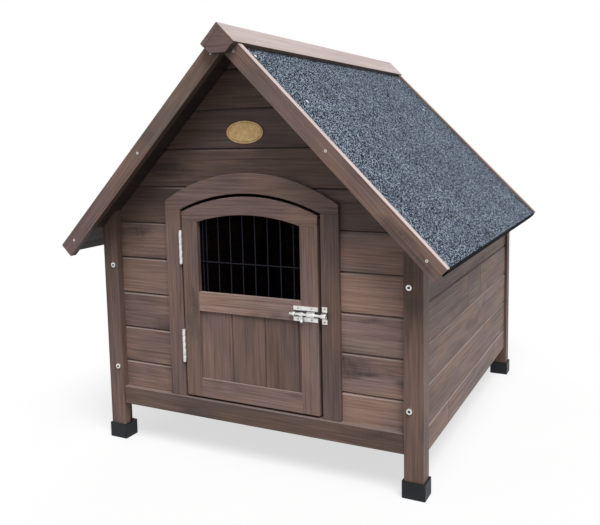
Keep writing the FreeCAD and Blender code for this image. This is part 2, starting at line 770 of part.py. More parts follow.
def door_top_rail():
    """Arched top rail over both stiles: its top follows the header and its underside is the window's head."""
    centre = (DOOR_LEFT_X + DOOR_RIGHT_X) / 2
    half = (DOOR_RIGHT_X - DOOR_LEFT_X) / 2
    opening_rise = OPENING_PEAK_Z - OPENING_SPRING_Z
    opening_r = (OPENING_HALF ** 2 + opening_rise ** 2) / (2 * opening_rise)
    door_r = opening_r - HEAD_GAP
    peak = OPENING_PEAK_Z - HEAD_GAP
    spring = peak - door_r + math.sqrt(door_r ** 2 - half ** 2)
    rail = arched(half, TOP_JOINT_Z, spring, peak, JAMB_FACE_Y, DOOR_BACK_Y, centre)
    window_half = (WINDOW_RIGHT_X - WINDOW_LEFT_X) / 2
    window_x = (WINDOW_LEFT_X + WINDOW_RIGHT_X) / 2
    low = MID_RAIL_TOP_Z
    window = arched(window_half, low, TOP_JOINT_Z, WINDOW_PEAK_Z, JAMB_FACE_Y, DOOR_BACK_Y, window_x)
    return rail.cut([window, grille_rebate(), top_tenon(True, JOINT_CLEAR), top_tenon(False, JOINT_CLEAR)])


def door_panel():
    """Upright boards of the lower panel, held in the groove."""
    edges = [WINDOW_LEFT_X - PANEL_GROOVE]
    joint = PANEL_JOINT_X
    while joint < WINDOW_RIGHT_X:
        edges.append(joint)
        joint += PANEL_PITCH
    edges.append(WINDOW_RIGHT_X + PANEL_GROOVE)
    boards = []
    for outline in board_outlines(edges, PANEL_T, PANEL_BEVEL):
        points = [(x, PANEL_FACE_Y + d) for x, d in outline]
        boards.append(prism_along_z(points, BOTTOM_RAIL_TOP_Z - PANEL_GROOVE, MID_RAIL_LOW_Z + PANEL_GROOVE))
    return boards


def door_grille():
    """Upright wires welded behind three cross wires, with one more at the mesh's cut left edge."""
    upright_y = DOOR_BACK_Y - GRILLE_BACK_INSET - WIRE_R
    cross_y = upright_y - 2 * WIRE_R + WIRE_LAP
    low = MID_RAIL_TOP_Z - GRILLE_REBATE + WIRE_R
    high = GRILLE_REBATE_TOP_Z - WIRE_R
    reach = WIRE_PITCH * WIRE_COUNT / 2
    places = [GRILLE_X + (i - (WIRE_COUNT - 1) / 2) * WIRE_PITCH for i in range(WIRE_COUNT)]
    wires = []
    for x in places + [GRILLE_X - reach + EDGE_WIRE_IN]:
        wires.append(rod(WIRE_R, V(x, upright_y, low), V(0, 0, high - low)))
    for z in (low + 2 * WIRE_R, CROSS_WIRE_Z, high - 2 * WIRE_R):
        wires.append(rod(WIRE_R, V(GRILLE_X - reach, cross_y, z), V(2 * reach, 0, 0)))
    return fuse(wires)


def knuckle_spans(z, door_side):
    """Heights of one leaf's knuckles: the frame's are the odd ones out, at both ends."""
    size = (HINGE_LENGTH - (KNUCKLES - 1) * KNUCKLE_GAP) / KNUCKLES
    spans = []
    for i in range(1 if door_side else 0, KNUCKLES, 2):
        low = z - HINGE_LENGTH / 2 + i * (size + KNUCKLE_GAP)
        spans.append((low, low + size))
    return spans


def hinge_leaf(z, door_side):
    """One leaf with its rolled knuckles, bored for the pin and countersunk for its screws."""
    outer_x = DOOR_LEFT_X if door_side else -OPENING_HALF
    inner_x = outer_x - LEAF_T if door_side else outer_x + LEAF_T
    half = HINGE_LENGTH / 2
    pieces = [box(outer_x, inner_x, HINGE_Y + LEAF_EDGE, DOOR_BACK_Y, z - half, z + half)]
    for low, high in knuckle_spans(z, door_side):
        pieces.append(rod(KNUCKLE_R, V(HINGE_X, HINGE_Y, low), V(0, 0, high - low)))
        pieces.append(box(outer_x, inner_x, HINGE_Y, HINGE_Y + LEAF_EDGE, low, high))
    leaf = fuse(pieces)
    leaf = leaf.cut(rod(PIN_R + RUNNING_FIT, V(HINGE_X, HINGE_Y, z - half), V(0, 0, HINGE_LENGTH)))
    places = door_screw_places() if door_side else frame_screw_places()
    direction = V(1, 0, 0) if door_side else V(-1, 0, 0)
    for place in places:
        leaf = leaf.cut(screw(place, direction, SCREW_L, SCREW_FIT))
    return leaf


def hinge_pin(z):
    """Pin with riveted ends."""
    half = HINGE_LENGTH / 2
    pin = rod(PIN_R, V(HINGE_X, HINGE_Y, z - half), V(0, 0, HINGE_LENGTH))
    top = rod(PIN_HEAD_R, V(HINGE_X, HINGE_Y, z + half), V(0, 0, PIN_HEAD_T))
    low = rod(PIN_HEAD_R, V(HINGE_X, HINGE_Y, z - half - PIN_HEAD_T), V(0, 0, PIN_HEAD_T))
    return fuse([pin, top, low])


def saddle(x0, x1, radius):
    """Round-topped guide over the bolt, down to the plate it stands on."""
    barrel = rod(radius, V(x0, BOLT_Y, BOLT_Z), V(x1 - x0, 0, 0))
    return barrel.fuse(box(x0, x1, BOLT_Y, JAMB_FACE_Y, BOLT_Z - radius, BOLT_Z + radius))


def bolt_plate():
    """Plate with the left loop and the barrel that guide the bolt."""
    plate = box(PLATE_LEFT_X, PLATE_RIGHT_X, JAMB_FACE_Y - PLATE_T, JAMB_FACE_Y,
                BOLT_Z - PLATE_H / 2, BOLT_Z + PLATE_H / 2)
    loop = saddle(PLATE_LEFT_X, PLATE_LEFT_X + LOOP_W, LOOP_R)
    barrel = saddle(BARREL_LEFT_X, BARREL_RIGHT_X, BARREL_R)
    body = fuse([plate, loop, barrel])
    length = PLATE_RIGHT_X - PLATE_LEFT_X
    body = body.cut(rod(BOLT_R + RUNNING_FIT, V(PLATE_LEFT_X, BOLT_Y, BOLT_Z), V(length, 0, 0)))
    for place in plate_screw_places():
        body = body.cut(screw(place, V(0, 1, 0), SCREW_L, SCREW_FIT))
    return body


def bolt_keeper():
    """Keeper plate with the bridge that the bolt shoots into."""
    x1 = KEEPER_LEFT_X + KEEPER_W
    half = KEEPER_H / 2
    plate = box(KEEPER_LEFT_X, x1, JAMB_FACE_Y - PLATE_T, JAMB_FACE_Y, BOLT_Z - half, BOLT_Z + half)
    keeper = fuse([plate, saddle(KEEPER_LEFT_X, x1, KEEPER_R)])
    keeper = keeper.cut(rod(BOLT_R + KEEPER_CLEAR, V(KEEPER_LEFT_X, BOLT_Y, BOLT_Z), V(KEEPER_W, 0, 0)))
    for place in keeper_screw_places():
        keeper = keeper.cut(screw(place, V(0, 1, 0), SCREW_L, SCREW_FIT))
    return keeper


def bolt_rod():
    """Round bolt, drawn back just clear of the keeper, with a chamfered nose."""
    bolt = rod(BOLT_R, V(BOLT_LEFT_X, BOLT_Y, BOLT_Z), V(BOLT_TIP_X - BOLT_LEFT_X, 0, 0))
    ends = [e for e in bolt.Edges if e.Curve.TypeId == "Part::GeomCircle"]
    return bolt.makeChamfer(BOLT_R / 4, ends)


def bolt_knob():
    """Collar that turns on the bolt, with a stem and a ball hanging from it."""
    collar = rod(KNOB_R, V(KNOB_LEFT_X, BOLT_Y, BOLT_Z), V(KNOB_W, 0, 0))
    x = KNOB_LEFT_X + KNOB_W / 2
    ball_z = BOLT_Z - KNOB_REACH + BALL_R
    stem = rod(STEM_R, V(x, BOLT_Y, BOLT_Z), V(0, 0, ball_z - BOLT_Z))
    ball = Part.makeSphere(BALL_R, V(x, BOLT_Y, ball_z))
    knob = fuse([collar, stem, ball])
    return knob.cut(rod(BOLT_R + RUNNING_FIT, V(KNOB_LEFT_X, BOLT_Y, BOLT_Z), V(KNOB_W, 0, 0)))


def export(node, solids):
    """Write one node: a single solid, or a group of separate ones."""
    shape = solids[0] if len(solids) == 1 else Part.makeCompound(solids)
    shape.exportStep("parts/%s.step" % node)


def export_house():
    """Everything that stands still."""
    post = corner_post()
    cap = foot_cap()
    for end, at_end in (("front", lambda s: s), ("back", mirror_y)):
        export("post_%s_left" % end, [at_end(post)])
        export("post_%s_right" % end, [at_end(mirror_x(post))])
        export("foot_cap_%s_left" % end, [at_end(cap)])
        export("foot_cap_%s_right" % end, [at_end(mirror_x(cap))])
        export("%s_bottom_rail" % end, [at_end(gable_rail())])
    left_boards = wall_boards_left()
    export("front_boards_left", left_boards)
    export("front_boards_right", [mirror_x(b) for b in left_boards])
    gable = top_gable_boards()
    export("front_gable_boards", [b.cut(doorway()) for b in gable])
    wall_edges = board_edges(GABLE_LOW_Z, GABLE_JOINT_Z, GABLE_START_Z)
    export("back_wall_boards", [mirror_y(b) for b in gable_boards(-WALL_END_X, WALL_END_X, wall_edges, True)])
    export("back_gable_boards", [mirror_y(b) for b in gable])
    export("door_sill", [door_sill()])
    export("door_jamb_left", [left_jamb()])
    export("door_jamb_right", [right_jamb()])
    export("door_header", [door_header()])
    export("side_boards_left", side_boards())
    export("side_boards_right", [mirror_x(b) for b in side_boards()])
    export("side_battens_left", side_battens())
    export("side_battens_right", [mirror_x(b) for b in side_battens()])
    export("floor_bearers", floor_bearers())
    export("floor_boards", floor_boards())
    export("corner_bolts", post_bolts())
    export("gable_plaque", [gable_plaque()])


def export_roof():
    """The roof's layers, barge boards and ridge."""
    boards = [drill_slope(b) for b in roof_boards()]
    export("roof_boards_right", boards)
    export("roof_boards_left", [mirror_x(b) for b in boards])
    export("rafters_right", roof_rafters())
    export("rafters_left", [mirror_x(r) for r in roof_rafters()])
    felt = drill_slope(roof_felt())
    export("roof_felt_right", [felt])
    export("roof_felt_left", [mirror_x(felt)])
    front_y = FRONT_Y - FRONT_BARGE_OUT
    back_y = BACK_Y + BACK_BARGE_OUT
    for end, y0, outward in (("front", front_y, -1), ("back", back_y - BARGE_T, 1)):
        barge = barge_board(y0, y0 + BARGE_T, outward)
        export("barge_%s_right" % end, [barge])
        export("barge_%s_left" % end, [mirror_x(barge)])
    ridge_left, ridge_right = ridge_boards()
    export("ridge_board_left", [ridge_left])
    export("ridge_board_right", [ridge_right])
    export("ridge_end_plate", [ridge_end_plate()])
    export("barge_screws", barge_screws())
    export("ridge_screws", ridge_screws())


def export_door():
    """The door, its two hinges and its barrel bolt."""
    export("door_stile_left", [door_stile(True)])
    export("door_stile_right", [door_stile(False)])
    export("door_bottom_rail", [door_bottom_rail()])
    export("door_mid_rail", [door_mid_rail()])
    export("door_top_rail", [door_top_rail()])
    export("door_panel", door_panel())
    export("door_grille", [door_grille()])
    export("hinge_leaves_frame", [hinge_leaf(z, False) for z in HINGE_ZS])
    export("hinge_leaves_door", [hinge_leaf(z, True) for z in HINGE_ZS])
    export("hinge_pins", [hinge_pin(z) for z in HINGE_ZS])
    export("hinge_screws_frame", [screw(p, V(-1, 0, 0), SCREW_L) for p in frame_screw_places()])
    export("hinge_screws_door", [screw(p, V(1, 0, 0), SCREW_L) for p in door_screw_places()])
    export("bolt_plate", [bolt_plate()])
    export("bolt_plate_screws", [screw(p, V(0, 1, 0), PLATE_SCREW_L) for p in plate_screw_places()])
    export("bolt_keeper", [bolt_keeper()])
    export("keeper_screws", [screw(p, V(0, 1, 0), JAMB_T) for p in keeper_screw_places()])
    export("bolt_rod", [bolt_rod()])
    export("bolt_knob", [bolt_knob()])


os.makedirs("parts", exist_ok=True)
export_house()
export_roof()
export_door()
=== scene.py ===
import math

import bmesh
import bpy
from mathutils import Matrix, Vector


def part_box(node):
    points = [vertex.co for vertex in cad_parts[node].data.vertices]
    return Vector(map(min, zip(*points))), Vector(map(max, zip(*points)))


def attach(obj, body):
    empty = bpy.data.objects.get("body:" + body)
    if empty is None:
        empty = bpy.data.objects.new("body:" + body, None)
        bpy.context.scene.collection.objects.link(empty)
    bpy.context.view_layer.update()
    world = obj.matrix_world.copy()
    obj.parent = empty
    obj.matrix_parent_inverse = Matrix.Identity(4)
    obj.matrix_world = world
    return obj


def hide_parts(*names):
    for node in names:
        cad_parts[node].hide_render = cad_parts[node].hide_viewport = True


MM = 0.001

# Places of the CAD model that the looks need, in metres, in the row frame.
PITCH = math.radians(45.5)
WALL_JOINT_Z = 0.1088
SIDE_JOINT_Z = 0.139
FLOOR_JOINT_Y = -0.4095
BOARD_PITCH = 0.0862
PANEL_JOINT_X = -0.0483
PANEL_PITCH = 0.084
FELT_UNDER_RIDGE = 0.010
LATCH_Z = 0.3604
LATCH_FACE_Y = -0.4335
PLAQUE_FACE_Y = -0.4245
CORNER_BOLT_X = 0.371
CORNER_BOLT_ZS = (0.184, 0.437)

# Axes, and the way down each slope of the roof.
X = Vector((1, 0, 0))
Y = Vector((0, 1, 0))
Z = Vector((0, 0, 1))
DOWN_RIGHT = Vector((math.cos(PITCH), 0, -math.sin(PITCH)))
DOWN_LEFT = Vector((-math.cos(PITCH), 0, -math.sin(PITCH)))
SLOPES = ((1, "right", DOWN_RIGHT), (-1, "left", DOWN_LEFT))

# Wood: glued end joints of the side boards as (board number, place along the grain), the half widths at which
# their dark line and the line at a board's edge start to fade and are gone, and steps between the boards' seeds.
SIDE_SPLICES = ((2, -0.041), (2, 0.093), (-1, -0.225))
SPLICE_LINE = (0.0010, 0.0028)
JOINT_LINE = (0.0008, 0.0030)
SPLICE_SEED = 0.37
BOARD_SEED = 31.7
STICK_SEED = 17.3
PATTERN_SHIFT = 9.0

# Felt nails, as way down the slope and place along the front half, and the sum of a front nail's place and
# its back one's. Profile of a nail's head as radius and height, in millimetres.
FELT_NAILS = ((0.082, -0.462), (0.215, -0.413))
NAIL_PAIR_SUM = 0.0115
NAIL_PROFILE = ((3.6, 0.05), (3.9, 0.35), (3.3, 0.75), (1.6, 0.95))
NAIL_STEPS = 16

# Felt turned over the barge boards: edge of the board left bare, overlap behind it, ends down the slope,
# wander of the cut edge, and how far out from the middle of the house the wander starts.
LAP_BARE = 0.0085
LAP_OVER = 0.004
LAP_FROM = 0.0575
LAP_TO = 0.6705
LAP_STEPS = 60
LAP_TOP = 1.1 * MM
LAP_FOOT = 0.05 * MM
LAP_WANDER = 0.0005
LAP_RIPPLE = 0.0003
WANDER_FROM = 0.5

# Bare bitumen along the eave: where it starts and is full, from the edge.
EAVE_LINE = (0.0065, 0.0045)

# Screw with a cross recess: head radius, recess arm and half width, and steps of its profile.
SCREW_HEAD = 0.003
RECESS_ARM = 2.0 * MM
RECESS_HALF = 0.48 * MM
RECESS_END = 0.8
RECESS_DEPTH = 1.3 * MM
RECESS_TAPER = 0.75
HEAD_RISE = 0.12 * MM
HEAD_SHOULDER = 0.06 * MM
SCREW_TURN = 0.7

# Painted shade behind the door bolt and in the sockets of the corner bolts: where each is full and where it ends.
BOLT_SHADE_HALF_HEIGHT = (0.0070, 0.0095)
BOLT_SHADE_DEPTH = (0.003, 0.001)
BOLT_SHADE_FROM_X = 0.05
SOCKET_SHADE_RADIUS = (0.0026, 0.0031)

# Line pressed in the plaque, as depths behind its face where it begins and ends; points round the oval.
LINE_BEGIN = (0.0009, 0.0013)
LINE_END = (0.0014, 0.0017)
OVAL_STEPS = 96

# Mesh clean-up: gap that is welded, bend that counts as flat, bend that counts as an edge.
WELD_GAP = 0.01 * MM
FLAT_BEND = math.radians(0.5)
SHARP_BEND = math.radians(35)
RIM_SLICE = 0.05 * MM

# Camera of the photograph: place in metres, heading, tilt and roll, and focal length and principal point in pixels.
CAMERA_AT = (0.80563, -1.80906, 0.73878)
CAMERA_YAW = math.radians(27.46)
CAMERA_TILT = math.radians(-6.52)
CAMERA_ROLL = math.radians(-1.29)
FRAME_W = 600
FRAME_H = 525
FOCAL_PX = 732.07
PRINCIPAL_PX = (282.86, 219.63)
SENSOR_MM = 36.0

# Light: one broad soft lamp and an even sky; the floor's own glow makes up the rest of its white.
KEY = 3.1
KEY_SPREAD = math.radians(34)
KEY_FROM = (0.33, -0.37, 0.87)
SKY = 0.30
FLOOR_GLOW = 0.66
FLOOR_REACH = 40.0

# Stain colours, linear: a warm brown, a cooler mauve, a greenish grey-brown, the dark smudges and the knots.
WARM = (0.250, 0.158, 0.125)
MAUVE = (0.196, 0.130, 0.119)
MOSS = (0.176, 0.140, 0.110)
SMUDGE = (0.050, 0.036, 0.038)
KNOT = tuple(c * 0.8 for c in SMUDGE)

# Painted top light on the faces that look up, and a painted sheen on the ridge and front barge tops: most pieces, and
# the barge boards.
PAINTED_TOP_LIGHT = (0.56, 0.47, 0.45)
PAINTED_BARGE_TOP_LIGHT = (0.72, 0.60, 0.58)

# Felt: the gaps between granules, plain, bright and mauve granules, and bare bitumen, smooth and dusty.
GRIT_GAP = (0.001, 0.003, 0.009)
GRIT_PLAIN = (0.032, 0.047, 0.074)
GRIT_BRIGHT = (0.58, 0.70, 0.84)
GRIT_MAUVE = (0.13, 0.10, 0.15)
BITUMEN = (0.004, 0.004, 0.007)
BITUMEN_DUSTY = (0.012, 0.013, 0.018)

# Plastic, metal, wire and plaque.
PLASTIC = (0.004, 0.005, 0.007)
PLASTIC_DUSTY = (0.016, 0.018, 0.022)
# The metal's dark colour is painted shade, behind the door bolt and in the corner bolts' sockets.
PAINTED_METAL_SHADE = (0.012, 0.012, 0.014)
COAT = (0.011, 0.012, 0.021)
COAT_WORN = (0.036, 0.040, 0.060)
GOLD = (0.72, 0.47, 0.19)
GOLD_RUBBED = (0.95, 0.66, 0.32)
GOLD_PRESSED = (0.06, 0.035, 0.015)


class Tree:
    """Short way to add and link shader nodes."""

    def __init__(self, tree):
        self.tree = tree

    def add(self, kind, settings=None, **inputs):
        """A new node; an input's name has _ for each blank."""
        node = self.tree.nodes.new(kind)
        for name, value in (settings or {}).items():
            setattr(node, name, value)
        for name, value in inputs.items():
            self.feed(node.inputs[name.replace("_", " ")], value)
        return node

    def feed(self, socket, value):
        """Link a socket or a node's first output, or set a constant."""
        if isinstance(value, bpy.types.NodeSocket):
            self.tree.links.new(value, socket)
        elif isinstance(value, bpy.types.Node):
            self.tree.links.new(value.outputs[0], socket)
        else:
            socket.default_value = value

    def math(self, operation, *values):
        node = self.add("ShaderNodeMath", {"operation": operation})
        for socket, value in zip(node.inputs, values):
            self.feed(socket, value)
        return node.outputs[0]

    def total(self, *terms):
        """Sum of (value, weight) pairs."""
        parts = [self.math("MULTIPLY", value, weight) for value, weight in terms]
        result = parts[0]
        for part in parts[1:]:
            result = self.math("ADD", result, part)
        return result

    def vector(self, operation, *values):
        node = self.add("ShaderNodeVectorMath", {"operation": operation})
        for socket, value in zip(node.inputs, values):
            self.feed(socket, value)
        return node.outputs["Value"] if operation in ("DOT_PRODUCT", "LENGTH") else node.outputs["Vector"]

    def mix(self, factor, a, b):
        """Colour a turning to b; each is a socket or an (r, g, b) constant."""
        node = self.add("ShaderNodeMix", {"data_type": "RGBA"})
        self.feed(node.inputs[0], factor)
        self.feed(node.inputs[6], (*a, 1) if isinstance(a, tuple) else a)
        self.feed(node.inputs[7], (*b, 1) if isinstance(b, tuple) else b)
        return node.outputs[2]

    def band(self, value, low, high, out_low=0.0, out_high=1.0):
        """value mapped from low..high to out_low..out_high, with soft ends."""
        node = self.add("ShaderNodeMapRange", {"interpolation_type": "SMOOTHSTEP"})
        for socket, entry in zip(node.inputs, (value, low, high, out_low, out_high)):
            self.feed(socket, entry)
        return node.outputs[0]

    def noise(self, place, scale=1.0, detail=2.0, roughness=0.5):
        return self.add("ShaderNodeTexNoise", Vector=place, Scale=scale, Detail=detail, Roughness=roughness).outputs[0]

    def scaled(self, place, x, y, z):
        return self.vector("MULTIPLY", place, (x, y, z))

    def grained(self, place, along, across, **settings):
        """Noise with one scale along the grain and another across and through it."""
        return self.noise(self.scaled(place, along, across, across), **settings)

    def cells(self, place, scale):
        """Distance and the three random values of a pattern of cells."""
        node = self.add("ShaderNodeTexVoronoi", {"feature": "F1"}, Vector=place, Scale=scale)
        return node.outputs["Distance"], self.add("ShaderNodeSeparateColor", Color=node.outputs["Color"]).outputs

    def times(self, vector, factor):
        node = self.add("ShaderNodeVectorMath", {"operation": "SCALE"}, Vector=vector, Scale=factor)
        return node.outputs["Vector"]

    def seen_directly(self):
        """1 for rays that come to the camera straight, mirrored or through glass, 0 for the rest."""
        rays = self.add("ShaderNodeLightPath").outputs
        return self.math("MAXIMUM", rays["Is Camera Ray"],
                         self.math("MAXIMUM", rays["Is Glossy Ray"], rays["Is Transmission Ray"]))


def new_material(name):
    """An empty node material and its helper."""
    material = bpy.data.materials.new(name)
    material.use_nodes = True
    material.node_tree.nodes.clear()
    return material, Tree(material.node_tree)


def close_material(t, color, roughness, height, bump, metallic=0.0, **constants):
    """Principled shader with a bump, wired to the output."""
    normal = t.add("ShaderNodeBump", Strength=1.0, Distance=bump, Height=height)
    shader = t.add("ShaderNodeBsdfPrincipled", Base_Color=color, Roughness=roughness, Metallic=metallic,
                   Normal=normal, **constants)
    t.add("ShaderNodeOutputMaterial", Surface=shader)


def outward(side):
    """Direction out of the right slope (1) or the left one (-1)."""
    return Vector((side * math.sin(PITCH), 0, math.cos(PITCH)))


def wood(name, grain, across, tint, seed, start=0.0, pitch=1e3, knots=0.3, splices=(), top_light=0.35, pale_tone=PAINTED_TOP_LIGHT,
         darkening=0.5, sooty=1.0):
    """Stained softwood: grain runs along one axis, and boards at a pitch along another differ in tone.

    splices are glued end joints as (board number, place along the grain). Faces that look up get a painted top light,
    and faces that look down a painted shade.
    """
    material, t = new_material(name)
    coords = t.add("ShaderNodeTexCoord").outputs
    place = coords["Object"]
    along = t.vector("DOT_PRODUCT", place, tuple(grain))
    side = t.vector("DOT_PRODUCT", place, tuple(across))
    through = t.vector("DOT_PRODUCT", place, tuple(grain.cross(across)))
    row = t.math("DIVIDE", t.math("SUBTRACT", side, start), pitch)
    board = t.math("FLOOR", row)
    segment, seam = board, 0.0
    for number, at in splices:
        here = t.math("COMPARE", board, float(number), 0.5)
        segment = t.math("ADD", segment, t.math("MULTIPLY", t.math("MULTIPLY", here, SPLICE_SEED),
                                                t.math("GREATER_THAN", along, at)))
        close = t.band(t.math("ABSOLUTE", t.math("SUBTRACT", along, at)), *SPLICE_LINE, 1.0, 0.0)
        seam = t.math("ADD", seam, t.math("MULTIPLY", here, close))
    dice = t.add("ShaderNodeTexWhiteNoise", {"noise_dimensions": "1D"}, W=t.math("ADD", segment, seed)).outputs
    shift = t.times(dice["Color"], PATTERN_SHIFT)
    p = t.vector("ADD", t.add("ShaderNodeCombineXYZ", X=along, Y=side, Z=through).outputs[0], shift)

    # Knots: some cells of a coarse pattern hold one, and the grain bends round it.
    distance, dots = t.cells(t.scaled(p, 0.55, 1.0, 0.35), 7.0)
    chosen = t.math("LESS_THAN", dots[0], knots)
    near = t.math("MULTIPLY", chosen, t.band(distance, 0.04, 0.30, 1.0, 0.0))
    knot = t.math("MULTIPLY", chosen, t.band(distance, 0.035, 0.075, 1.0, 0.0))

    # Growth rings of a flat-sawn board, wandering along it, round a heart that lies behind its face.
    wander = t.grained(p, along=1.4, across=6.0)
    bent = t.total((wander, 0.055), (near, 0.014))
    ring_place = t.add("ShaderNodeCombineXYZ", X=0.0, Y=t.math("ADD", side, bent), Z=t.math("ADD", through, 0.034))
    rings = t.add("ShaderNodeTexWave", {"wave_type": "RINGS", "rings_direction": "X", "wave_profile": "SAW"},
                  Vector=t.vector("ADD", ring_place, shift), Scale=38.0, Distortion=1.4, Detail=2.0,
                  Detail_Scale=2.0).outputs["Fac"]
    late = t.band(rings, 0.60, 1.0)
    fibre = t.grained(p, along=9.0, across=330.0, detail=3.0, roughness=0.65)
    streak = t.grained(p, along=2.4, across=85.0, detail=5.0, roughness=0.70)
    cloud = t.grained(p, along=3.0, across=10.0, detail=3.0, roughness=0.55)
    hue = t.grained(p, along=3.6, across=9.0, scale=1.3)
    hue_too = t.grained(p, along=4.4, across=13.0, scale=0.9)

    # Stain: warm and cool patches, then streaks, rings and clouds in its depth.
    color = t.mix(t.band(hue, 0.40, 0.60), MAUVE, WARM)
    color = t.mix(t.band(hue_too, 0.55, 0.72, 0.0, 0.6), color, MOSS)
    depth = t.total((streak, 0.80), (cloud, 0.90), (fibre, 1.55))
    depth = t.math("SUBTRACT", depth, t.math("ADD", t.math("MULTIPLY", late, 0.13), 0.625))
    board_tone = t.band(dice["Value"], 0.0, 1.0, 0.90, 1.12)
    color = t.times(color, t.math("MULTIPLY", t.math("MULTIPLY", depth, tint), board_tone))

    # Dark smudges with fine saw marks across the grain, then checks, knots and the dark lines of the joints.
    soot = t.band(t.grained(p, along=4.6, across=15.0, detail=3.0), 0.58, 0.72)
    saw = t.grained(p, along=240.0, across=40.0)
    ragged = t.total((streak, 1.3), (saw, 0.35))
    soot = t.math("MULTIPLY", soot, t.band(ragged, 0.62, 1.0, 0.20 * sooty, 0.75 * sooty))
    color = t.mix(soot, color, SMUDGE)
    check = t.band(t.grained(p, along=4.0, across=420.0, detail=1.0), 0.74, 0.80)
    color = t.mix(t.math("MULTIPLY", check, 0.25), color, SMUDGE)
    color = t.mix(t.math("MULTIPLY", knot, 0.70), color, KNOT)
    joint = t.math("MULTIPLY", t.math("PINGPONG", row, 0.5), pitch)
    color = t.mix(t.band(joint, *JOINT_LINE, darkening, 0.0), color, SMUDGE)
    color = t.mix(t.math("MULTIPLY", seam, 0.75), color, SMUDGE)

    # End grain is darker and dull; the undersides get a painted shade, and the upper faces a painted top light.
    facing = t.math("ABSOLUTE", t.vector("DOT_PRODUCT", coords["Normal"], tuple(grain)))
    end_dots = t.band(t.grained(p, along=260.0, across=260.0), 0.3, 0.7, 0.2, 0.5)
    color = t.mix(t.math("MULTIPLY", t.band(facing, 0.75, 0.9), end_dots), color, SMUDGE)
    up = t.add("ShaderNodeSeparateXYZ", Vector=coords["Normal"]).outputs["Z"]
    # Painted shade: faces that look down are darkened.
    color = t.times(color, t.band(up, -0.60, -0.15, 0.42, 1.0))
    # Painted top light: faces that look up are made paler; on the ridge and front barges this is also a painted sheen.
    top_lit = t.math("MULTIPLY", t.band(up, 0.35, 0.62, 0.0, top_light), t.band(streak, 0.30, 0.65, 0.75, 1.1))
    color = t.mix(top_lit, color, pale_tone)

    height = t.total((fibre, 0.5), (streak, 0.8))
    height = t.math("SUBTRACT", height, t.math("ADD", check, t.math("MULTIPLY", late, 0.35)))
    close_material(t, color, t.band(streak, 0.25, 0.8, 0.66, 0.46), height, 0.5 * MM, Specular_IOR_Level=0.28)
    return material


def felt(name, side, down, eave):
    """Mineral roofing felt: blue-grey granules on top, bare bitumen below, on the cut edges and along the eave."""
    material, t = new_material(name)
    coords = t.add("ShaderNodeTexCoord").outputs
    place = coords["Object"]
    slope = t.vector("DOT_PRODUCT", place, tuple(down))
    p = t.add("ShaderNodeCombineXYZ", X=t.vector("DOT_PRODUCT", place, tuple(Y)), Y=slope, Z=0.0).outputs[0]
    shade = t.cells(p, 560.0)[1]
    fine = t.noise(p, scale=900.0, roughness=0.7)
    tone = t.total((shade[0], 0.80), (fine, 0.30))
    color = t.mix(t.band(tone, 0.30, 0.62), GRIT_GAP, GRIT_PLAIN)
    color = t.mix(t.band(tone, 0.68, 0.80), color, GRIT_BRIGHT)
    color = t.mix(t.band(shade[1], 0.86, 0.95, 0.0, 0.5), color, GRIT_MAUVE)
    cloud = t.noise(p, scale=7.0, detail=4.0, roughness=0.6)
    color = t.times(color, t.band(cloud, 0.3, 0.7, 0.76, 0.94))
    facing_out = t.vector("DOT_PRODUCT", coords["Normal"], tuple(outward(side)))
    bare = t.math("MAXIMUM", t.band(facing_out, 0.5, 0.8, 1.0, 0.0),
                  t.band(slope, *(eave - inset for inset in EAVE_LINE)))
    color = t.mix(bare, color, t.mix(fine, BITUMEN, BITUMEN_DUSTY))
    height = t.math("ADD", shade[0], fine)
    close_material(t, color, t.band(tone, 0.2, 1.0, 0.98, 0.85), height, 0.7 * MM, Specular_IOR_Level=0.06)
    return material


def plastic(name):
    """Black moulded plastic of the foot caps, dusty and finely grained."""
    material, t = new_material(name)
    place = t.add("ShaderNodeTexCoord").outputs["Object"]
    grain = t.noise(place, scale=900.0)
    pale_tone = t.noise(place, scale=22.0, detail=4.0, roughness=0.65)
    color = t.mix(t.band(pale_tone, 0.4, 0.75), PLASTIC, PLASTIC_DUSTY)
    close_material(t, color, t.band(pale_tone, 0.3, 0.7, 0.42, 0.62), grain, 0.2 * MM, Specular_IOR_Level=0.30)
    return material


